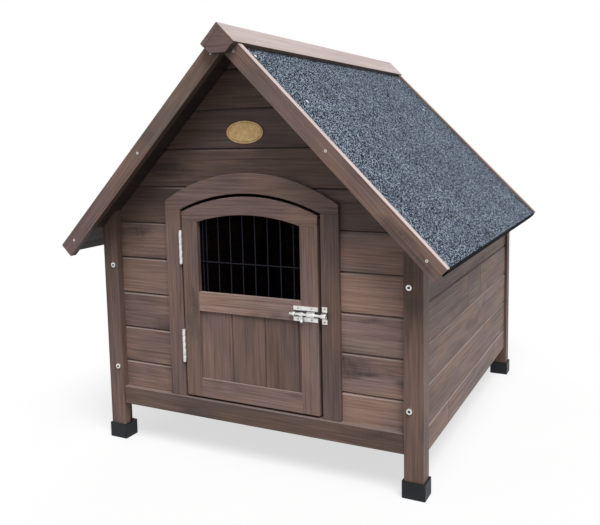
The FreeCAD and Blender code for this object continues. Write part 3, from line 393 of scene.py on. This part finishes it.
def zinc(name, pale=(0.84, 0.83, 0.81), dull=(0.40, 0.40, 0.39), metallic=0.80):
    """Zinc-plated steel: bright, with faint spangle and dull specks, painted shade behind the door bolt and in the
    corner bolts' sockets.
    """
    material, t = new_material(name)
    place = t.add("ShaderNodeTexCoord").outputs["Object"]
    x, y, z = t.add("ShaderNodeSeparateXYZ", Vector=place).outputs
    spangle = t.cells(place, 260.0)[1][0]
    specks = t.noise(place, scale=420.0, detail=3.0, roughness=0.7)
    color = t.mix(t.band(spangle, 0.0, 1.0, 0.0, 0.35), pale, dull)
    color = t.mix(t.band(specks, 0.60, 0.78, 0.0, 0.7), color, dull)

    # Painted shade: a dark band where the door bolt shades the plate, and dark discs in the corner bolts' sockets.
    from_bolt = t.math("ADD", t.math("ABSOLUTE", t.math("SUBTRACT", z, LATCH_Z)), t.math("MULTIPLY", specks, 0.002))
    darkening = t.math("MULTIPLY", t.band(from_bolt, *BOLT_SHADE_HALF_HEIGHT, 1.0, 0.0),
                   t.band(y, *(LATCH_FACE_Y - depth for depth in BOLT_SHADE_DEPTH), 0.0, 0.95))
    darkening = t.math("MULTIPLY", darkening, t.math("GREATER_THAN", x, BOLT_SHADE_FROM_X))
    across = t.math("SUBTRACT", t.math("ABSOLUTE", x), CORNER_BOLT_X)
    low, high = (t.math("ABSOLUTE", t.math("SUBTRACT", z, at)) for at in CORNER_BOLT_ZS)
    reach = t.add("ShaderNodeCombineXYZ", X=across, Y=0.0, Z=t.math("MINIMUM", low, high))
    socket = t.band(t.vector("LENGTH", reach), *SOCKET_SHADE_RADIUS, 0.95, 0.0)
    color = t.mix(t.math("MAXIMUM", darkening, socket), color, PAINTED_METAL_SHADE)
    close_material(t, color, t.band(specks, 0.3, 0.7, 0.26, 0.44), specks, 0.08 * MM, metallic=metallic)
    return material


def wire_paint(name):
    """Dark coated wire with a little wear."""
    material, t = new_material(name)
    place = t.add("ShaderNodeTexCoord").outputs["Object"]
    wear = t.noise(place, scale=160.0, detail=3.0, roughness=0.7)
    color = t.mix(t.band(wear, 0.55, 0.75), COAT, COAT_WORN)
    close_material(t, color, t.band(wear, 0.3, 0.7, 0.50, 0.68), wear, 0.06 * MM, Specular_IOR_Level=0.16)
    return material


def gold(name):
    """Dull gold plaque metal with rubbed patches, darkened in the line pressed inside its rim."""
    material, t = new_material(name)
    place = t.add("ShaderNodeTexCoord").outputs["Object"]
    rub = t.noise(place, scale=90.0, detail=4.0, roughness=0.65)
    fine = t.noise(t.scaled(place, 60.0, 60.0, 1500.0))
    color = t.mix(t.band(rub, 0.35, 0.7), GOLD, GOLD_RUBBED)
    depth = t.math("SUBTRACT", t.add("ShaderNodeSeparateXYZ", Vector=place).outputs["Y"], PLAQUE_FACE_Y)
    pressed = t.math("MULTIPLY", t.band(depth, *LINE_BEGIN), t.band(depth, *LINE_END, 1.0, 0.0))
    color = t.mix(t.math("MULTIPLY", pressed, 0.85), color, GOLD_PRESSED)
    close_material(t, color, t.band(fine, 0.3, 0.7, 0.42, 0.60), fine, 0.05 * MM, metallic=0.20)
    return material


def dress(material, *nodes):
    """Give CAD nodes a material."""
    for node in nodes:
        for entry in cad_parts[node].material_slots:
            entry.material = material


def ease_edges(width, *nodes):
    """Round the sharp edges of CAD nodes a little."""
    for node in nodes:
        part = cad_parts[node]
        weld = part.modifiers.new("weld", "WELD")
        weld.merge_threshold = WELD_GAP
        planes = part.modifiers.new("planes", "DECIMATE")
        planes.decimate_type = "DISSOLVE"
        planes.angle_limit = FLAT_BEND
        bevel = part.modifiers.new("ease", "BEVEL")
        bevel.width = width
        bevel.segments = 2
        bevel.limit_method = "ANGLE"
        bevel.angle_limit = SHARP_BEND
        bevel.harden_normals = True


def dress_wood():
    """Every timber node, with its own grain direction, tint and seed."""
    # Node, grain, direction across the boards, tint, first joint, pitch.
    boards = [
        ("front_boards_left", X, Z, 1.08, WALL_JOINT_Z, BOARD_PITCH),
        ("front_boards_right", X, Z, 1.46, WALL_JOINT_Z, BOARD_PITCH),
        # The front gable's low tint paints in part of the shade under the roof's overhang.
        ("front_gable_boards", X, Z, 0.60, WALL_JOINT_Z, BOARD_PITCH),
        ("back_wall_boards", X, Z, 1.0, WALL_JOINT_Z, BOARD_PITCH),
        ("back_gable_boards", X, Z, 0.9, WALL_JOINT_Z, BOARD_PITCH),
        ("side_boards_left", Y, Z, 1.0, SIDE_JOINT_Z, BOARD_PITCH),
        ("side_boards_right", Y, Z, 1.0, SIDE_JOINT_Z, BOARD_PITCH),
        ("floor_boards", X, Y, 0.6, FLOOR_JOINT_Y, BOARD_PITCH),
        ("roof_boards_left", Y, DOWN_LEFT, 0.35, 0.0, BOARD_PITCH),
        ("roof_boards_right", Y, DOWN_RIGHT, 0.35, 0.0, BOARD_PITCH),
        ("door_panel", Z, X, 0.80, PANEL_JOINT_X, PANEL_PITCH),
    ]
    for number, (node, grain, across, tint, start, pitch) in enumerate(boards, 1):
        splices = SIDE_SPLICES if node.startswith("side_boards") else ()
        darkening = 0.1 if node == "front_gable_boards" else 0.25
        sooty = 1.3 if node.startswith(("front_boards", "door_panel")) else 1.0
        dress(wood("wood_" + node, grain, across, tint, BOARD_SEED * number, start, pitch, splices=splices,
                   darkening=darkening, sooty=sooty), node)
    # Node, grain, direction across it, tint.
    sticks = [
        ("post_front_left", Z, X, 0.84), ("post_front_right", Z, X, 0.68),
        ("post_back_left", Z, X, 0.70), ("post_back_right", Z, X, 0.66),
        ("front_bottom_rail", X, Z, 0.60), ("back_bottom_rail", X, Z, 0.95),
        ("door_sill", X, Z, 0.8), ("door_header", X, Z, 1.08),
        ("door_jamb_left", Z, X, 1.07), ("door_jamb_right", Z, X, 0.72),
        ("side_battens_left", Z, X, 0.6), ("side_battens_right", Z, X, 0.6),
        ("floor_bearers", Y, X, 0.6),
        ("rafters_left", DOWN_LEFT, Y, 0.45), ("rafters_right", DOWN_RIGHT, Y, 0.45),
        ("barge_front_left", DOWN_LEFT, Y, 0.98), ("barge_front_right", DOWN_RIGHT, Y, 0.86),
        ("barge_back_left", DOWN_LEFT, Y, 1.0), ("barge_back_right", DOWN_RIGHT, Y, 1.0),
        ("ridge_board_left", Y, DOWN_LEFT, 1.1), ("ridge_board_right", Y, DOWN_RIGHT, 1.1),
        ("ridge_end_plate", X, Z, 0.68),
        ("door_stile_left", Z, X, 0.88), ("door_stile_right", Z, X, 1.05),
        ("door_bottom_rail", X, Z, 1.04), ("door_mid_rail", X, Z, 1.65),
        ("door_top_rail", X, Z, 1.05),
    ]
    for number, (node, grain, across, tint) in enumerate(sticks, 1):
        # Ridge and front barge tops get a strong painted top light and sheen; the barges a paler colour for it.
        top_light = 0.85 if node.startswith(("ridge", "barge_front")) else 0.25
        pale_tone = PAINTED_BARGE_TOP_LIGHT if node.startswith("barge") else PAINTED_TOP_LIGHT
        dress(wood("wood_" + node, grain, across, tint, STICK_SEED * number + 0.5, knots=0.22, top_light=top_light,
                   pale_tone=pale_tone), node)
    ease_edges(0.7 * MM, *[entry[0] for entry in boards])
    ease_edges(1.2 * MM, *[entry[0] for entry in sticks])


def dress_rest():
    """Felt, plastic, metal and plaque."""
    for side, name, down in SLOPES:
        node = "roof_felt_" + name
        eave = max(v.co.dot(down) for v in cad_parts[node].data.vertices)
        mineral = felt("felt_" + name, side, down, eave)
        dress(mineral, node)
        lap_felt(side, name, down, mineral)
    caps = ["foot_cap_%s_%s" % (end, side) for end in ("front", "back") for side in ("left", "right")]
    dress(plastic("cap_plastic"), *caps)
    ease_edges(0.8 * MM, *caps)
    metal_nodes = ("bolt_plate", "bolt_keeper", "bolt_rod", "bolt_knob", "hinge_leaves_frame", "hinge_leaves_door",
                   "hinge_pins", "corner_bolts")
    dress(zinc("bright_zinc"), *metal_nodes)
    ease_edges(0.3 * MM, *metal_nodes)
    bright = zinc("driven_zinc", pale=(0.90, 0.90, 0.89), dull=(0.62, 0.62, 0.62), metallic=0.45)
    # The screws' cross recesses get a near-black zinc: painted shade in the recess.
    drive_screws(bright, zinc("recess_shade_zinc", pale=(0.10, 0.10, 0.10), dull=(0.03, 0.03, 0.03)))
    nail_felt(bright)
    shape_plaque(gold("plaque_gold"))
    dress(wire_paint("grille_coat"), "door_grille")


def island_heads(node, outward_at):
    """Centre and outward direction of each loose part's outer end, and its length, from a CAD node's mesh."""
    bm = bmesh.new()
    bm.from_mesh(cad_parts[node].data)
    bmesh.ops.remove_doubles(bm, verts=bm.verts, dist=WELD_GAP)
    left = set(bm.verts)
    heads = []
    while left:
        island, edge = set(), [next(iter(left))]
        while edge:
            vertex = edge.pop()
            if vertex not in island:
                island.add(vertex)
                edge += [e.other_vert(vertex) for e in vertex.link_edges]
        left -= island
        points = [v.co.copy() for v in island]
        direction = outward_at(sum(points, Vector()) / len(points))
        reach = max(point.dot(direction) for point in points)
        rim = [point for point in points if point.dot(direction) > reach - RIM_SLICE]
        low = [min(point[i] for point in rim) for i in range(3)]
        high = [max(point[i] for point in rim) for i in range(3)]
        depth = reach - min(point.dot(direction) for point in points)
        heads.append(((Vector(low) + Vector(high)) / 2, direction, depth))
    bm.free()
    return sorted(heads, key=lambda head: tuple(head[0]))


def ring(bm, points, turn, centre, height):
    """Loop of vertices from (x, y) points, in a screw's own axes."""
    return [bm.verts.new(centre + turn @ Vector((x, y, height))) for x, y in points]


def bridge(bm, low, high, slot=0):
    """Band of faces between two loops with as many points."""
    count = len(low)
    for i in range(count):
        bm.faces.new((low[i], low[(i + 1) % count], high[(i + 1) % count], high[i])).material_index = slot


def stack(bm, loops):
    """Closed solid through a row of loops."""
    for low, high in zip(loops, loops[1:]):
        bridge(bm, low, high)
    bm.faces.new(loops[0])
    bm.faces.new(loops[-1])


def cross_outline():
    """Outline of a cross recess, as (x, y) points in order of their angle."""
    cross = []
    for quarter in range(4):
        c, q = round(math.cos(quarter * math.pi / 2)), round(math.sin(quarter * math.pi / 2))
        for x, y in ((RECESS_HALF, -RECESS_HALF), (RECESS_ARM, -RECESS_HALF * RECESS_END),
                     (RECESS_ARM, RECESS_HALF * RECESS_END)):
            cross.append((x * c - y * q, x * q + y * c))
    return sorted(cross, key=lambda point: math.atan2(point[1], point[0]))


def cross_screw(bm, centre, direction, length, twist):
    """Countersunk screw with a cross recess, its rim at a point."""
    turn = direction.to_track_quat("Z", "Y").to_matrix() @ Matrix.Rotation(twist, 3, "Z")
    cross = cross_outline()
    angles = [math.atan2(y, x) for x, y in cross]
    rim = [(SCREW_HEAD * math.cos(a), SCREW_HEAD * math.sin(a)) for a in angles]

    def drawn_in(points, factor, height):
        return ring(bm, [(factor * x, factor * y) for x, y in points], turn, centre, height)

    mouth = drawn_in(cross, 1.0, HEAD_RISE)
    floor = drawn_in(cross, RECESS_TAPER, -RECESS_DEPTH)
    shoulder = drawn_in(rim, 0.93, HEAD_SHOULDER)
    edge = drawn_in(rim, 1.0, 0.0)
    neck = drawn_in(rim, 0.5, -SCREW_HEAD / 2)
    tip = drawn_in(rim, 0.3, -length)
    # Slot 1, the recess walls and floor, takes the painted shade.
    bridge(bm, floor, mouth, 1)
    for low, high in ((mouth, shoulder), (shoulder, edge), (edge, neck), (neck, tip)):
        bridge(bm, low, high)
    bm.faces.new(floor).material_index = 1
    bm.faces.new(tip)


def link_new(name, data):
    """New object in the scene."""
    item = bpy.data.objects.new(name, data)
    bpy.context.scene.collection.objects.link(item)
    return item


def add_piece(name, bm, materials, body):
    """Object from a finished bmesh, riding on a body."""
    bmesh.ops.recalc_face_normals(bm, faces=bm.faces)
    mesh = bpy.data.meshes.new(name)
    bm.to_mesh(mesh)
    bm.free()
    for material in materials:
        mesh.materials.append(material)
    piece = link_new(name, mesh)
    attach(piece, body)
    return piece


def drive_screws(material, recess):
    """Screws with cross recesses in the place of the plain ones."""
    nodes = [
        ("barge_screws", "house", lambda c: Y if c.y > 0 else -Y),
        ("ridge_screws", "house", lambda c: outward(math.copysign(1, c.x))),
        ("hinge_screws_frame", "house", lambda c: X),
        ("hinge_screws_door", "door", lambda c: -X),
        ("bolt_plate_screws", "door", lambda c: -Y),
        ("keeper_screws", "house", lambda c: -Y),
    ]
    for node, body, outward_at in nodes:
        bm = bmesh.new()
        for number, (centre, direction, depth) in enumerate(island_heads(node, outward_at)):
            cross_screw(bm, centre, direction, depth, SCREW_TURN * number)
        piece = add_piece("driven_" + node, bm, (material, recess), body)
        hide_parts(node)


def felt_top(side):
    """Point on the top of a slope's felt, square below the top edge of the ridge boards."""
    return Vector((0, 0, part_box("ridge_board_right")[1][2])) - outward(side) * FELT_UNDER_RIDGE


def nail_felt(material):
    """Flat-headed clout nails in the felt, near its front and back edges."""
    steps = [2 * math.pi * i / NAIL_STEPS for i in range(NAIL_STEPS)]
    for side, name, down in SLOPES:
        turn = outward(side).to_track_quat("Z", "Y").to_matrix()
        bm = bmesh.new()
        for along, y in FELT_NAILS:
            for place in (y, NAIL_PAIR_SUM - y):
                centre = felt_top(side) + down * along + Y * place
                stack(bm, [ring(bm, [(radius * MM * math.cos(a), radius * MM * math.sin(a)) for a in steps], turn,
                                centre, height * MM) for radius, height in NAIL_PROFILE])
        add_piece("felt_nails_" + name, bm, (material,), "house")


def lap_felt(side, name, down, material):
    """Felt turned over the barge boards' upper edges, which leaves only their outer corner bare."""
    out = outward(side)
    top = felt_top(side)
    bm = bmesh.new()
    for end, barge in ((-1, "barge_front_right"), (1, "barge_back_right")):
        low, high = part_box(barge)
        outer = max(-low[1], high[1]) - LAP_BARE
        inner = min(abs(low[1]), abs(high[1])) - LAP_OVER
        profile = [(outer, LAP_FOOT), (outer, 0.7 * MM), (outer - 0.5 * MM, LAP_TOP), (inner + 2 * MM, LAP_TOP),
                   (inner, 0.75 * MM), (inner, LAP_FOOT)]
        loops = []
        for i in range(LAP_STEPS + 1):
            along = LAP_FROM + (LAP_TO - LAP_FROM) * i / LAP_STEPS
            wander = LAP_WANDER * math.sin(31.0 * along + 2.0 * side) + LAP_RIPPLE * math.sin(83.0 * along + end)
            loop = []
            for y, height in profile:
                reach = y + wander if y > WANDER_FROM else y
                loop.append(bm.verts.new(top + down * along + out * height + Y * end * reach))
            loops.append(loop)
        stack(bm, loops)
    add_piece("felt_laps_" + name, bm, (material,), "house")


def oval(bm, low, high, inset, y):
    """Loop of an upright oval inside a box, drawn in from its edge."""
    middle = (low + high) / 2
    half_x = (high.x - low.x) / 2 - inset
    half_z = (high.z - low.z) / 2 - inset
    steps = [2 * math.pi * i / OVAL_STEPS for i in range(OVAL_STEPS)]
    return [bm.verts.new((middle.x + half_x * math.cos(a), y, middle.z + half_z * math.sin(a))) for a in steps]


def shape_plaque(material):
    """Blank oval plaque with a rolled rim and a fine line pressed inside it."""
    low, high = (Vector(corner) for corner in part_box("gable_plaque"))
    back, face = high.y, low.y
    # Inset from the edge in millimetres, and place in depth: back, rim, dip behind it, pressed line, plate.
    profile = [(0.6, back), (0.0, back - 0.9 * MM), (0.0, face + 0.9 * MM), (0.4, face + 0.25 * MM), (1.0, face),
               (1.7, face + 0.1 * MM), (2.3, face + 0.7 * MM), (3.6, face + 0.8 * MM), (3.8, face + 1.35 * MM),
               (4.4, face + 1.35 * MM), (4.6, face + 0.8 * MM), (7.0, face + 0.72 * MM)]
    bm = bmesh.new()
    stack(bm, [oval(bm, low, high, inset * MM, y) for inset, y in profile])
    piece = add_piece("plaque_blank", bm, (material,), "house")
    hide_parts("gable_plaque")


def pale_stage_material():
    """Pale floor: part of what the camera sees is its own glow, so that it reads white and keeps the shadow."""
    material, t = new_material("pale_floor")
    place = t.add("ShaderNodeTexCoord").outputs["Object"]
    mottle = t.noise(place, scale=3.0, detail=3.0)
    matte = t.add("ShaderNodeBsdfDiffuse", Color=t.mix(mottle, (0.29, 0.29, 0.29), (0.31, 0.31, 0.31)))
    glow = t.add("ShaderNodeEmission", Color=(1, 1, 1, 1), Strength=FLOOR_GLOW)
    both = t.add("ShaderNodeAddShader")
    t.feed(both.inputs[0], matte)
    t.feed(both.inputs[1], glow)
    lit = t.add("ShaderNodeMixShader")
    t.feed(lit.inputs[0], t.seen_directly())
    t.feed(lit.inputs[1], matte)
    t.feed(lit.inputs[2], both)
    t.add("ShaderNodeOutputMaterial", Surface=lit)
    return material


def build_stage():
    """Pale floor, white world, and one broad soft light from above the front right."""
    mesh = bpy.data.meshes.new("floor")
    corners = [(-FLOOR_REACH, -FLOOR_REACH, 0), (FLOOR_REACH, -FLOOR_REACH, 0), (FLOOR_REACH, FLOOR_REACH, 0),
               (-FLOOR_REACH, FLOOR_REACH, 0)]
    mesh.from_pydata(corners, [], [(0, 1, 2, 3)])
    mesh.materials.append(pale_stage_material())
    floor = link_new("floor", mesh)

    world = bpy.data.worlds.new("studio")
    world.use_nodes = True
    world.node_tree.nodes.clear()
    t = Tree(world.node_tree)
    strength = t.band(t.seen_directly(), 0.0, 1.0, SKY, 1.0)
    t.add("ShaderNodeOutputWorld", Surface=t.add("ShaderNodeBackground", Color=(1, 1, 1, 1), Strength=strength))
    bpy.context.scene.world = world

    data = bpy.data.lights.new("soft_key", "SUN")
    data.energy = KEY
    data.angle = KEY_SPREAD
    lamp = link_new("soft_key", data)
    lamp.rotation_mode = "QUATERNION"
    lamp.rotation_quaternion = (-Vector(KEY_FROM)).to_track_quat("-Z", "Y")


def add_camera():
    """The photograph's viewpoint."""
    forward = Vector((-math.sin(CAMERA_YAW) * math.cos(CAMERA_TILT), math.cos(CAMERA_YAW) * math.cos(CAMERA_TILT),
                      math.sin(CAMERA_TILT)))
    level = Vector((math.cos(CAMERA_YAW), math.sin(CAMERA_YAW), 0))
    above = level.cross(forward)
    right = level * math.cos(CAMERA_ROLL) + above * math.sin(CAMERA_ROLL)
    up = right.cross(forward)
    data = bpy.data.cameras.new("camera")
    data.sensor_width = SENSOR_MM
    data.lens = FOCAL_PX * SENSOR_MM / FRAME_W
    data.shift_x = (FRAME_W / 2 - PRINCIPAL_PX[0]) / FRAME_W
    data.shift_y = (PRINCIPAL_PX[1] - FRAME_H / 2) / FRAME_W
    camera = link_new("camera", data)
    camera.matrix_world = Matrix.Translation(CAMERA_AT) @ Matrix((right, up, -forward)).transposed().to_4x4()
    bpy.context.scene.camera = camera


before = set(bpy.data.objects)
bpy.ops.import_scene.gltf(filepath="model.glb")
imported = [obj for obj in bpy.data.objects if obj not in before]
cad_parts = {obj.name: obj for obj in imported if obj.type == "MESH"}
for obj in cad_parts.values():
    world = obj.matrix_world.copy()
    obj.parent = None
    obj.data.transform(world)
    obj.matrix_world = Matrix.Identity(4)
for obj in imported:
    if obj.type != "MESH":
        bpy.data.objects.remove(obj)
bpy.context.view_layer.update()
bpy.context.scene.view_settings.view_transform = "Standard"

dress_wood()
dress_rest()
build_stage()
add_camera()
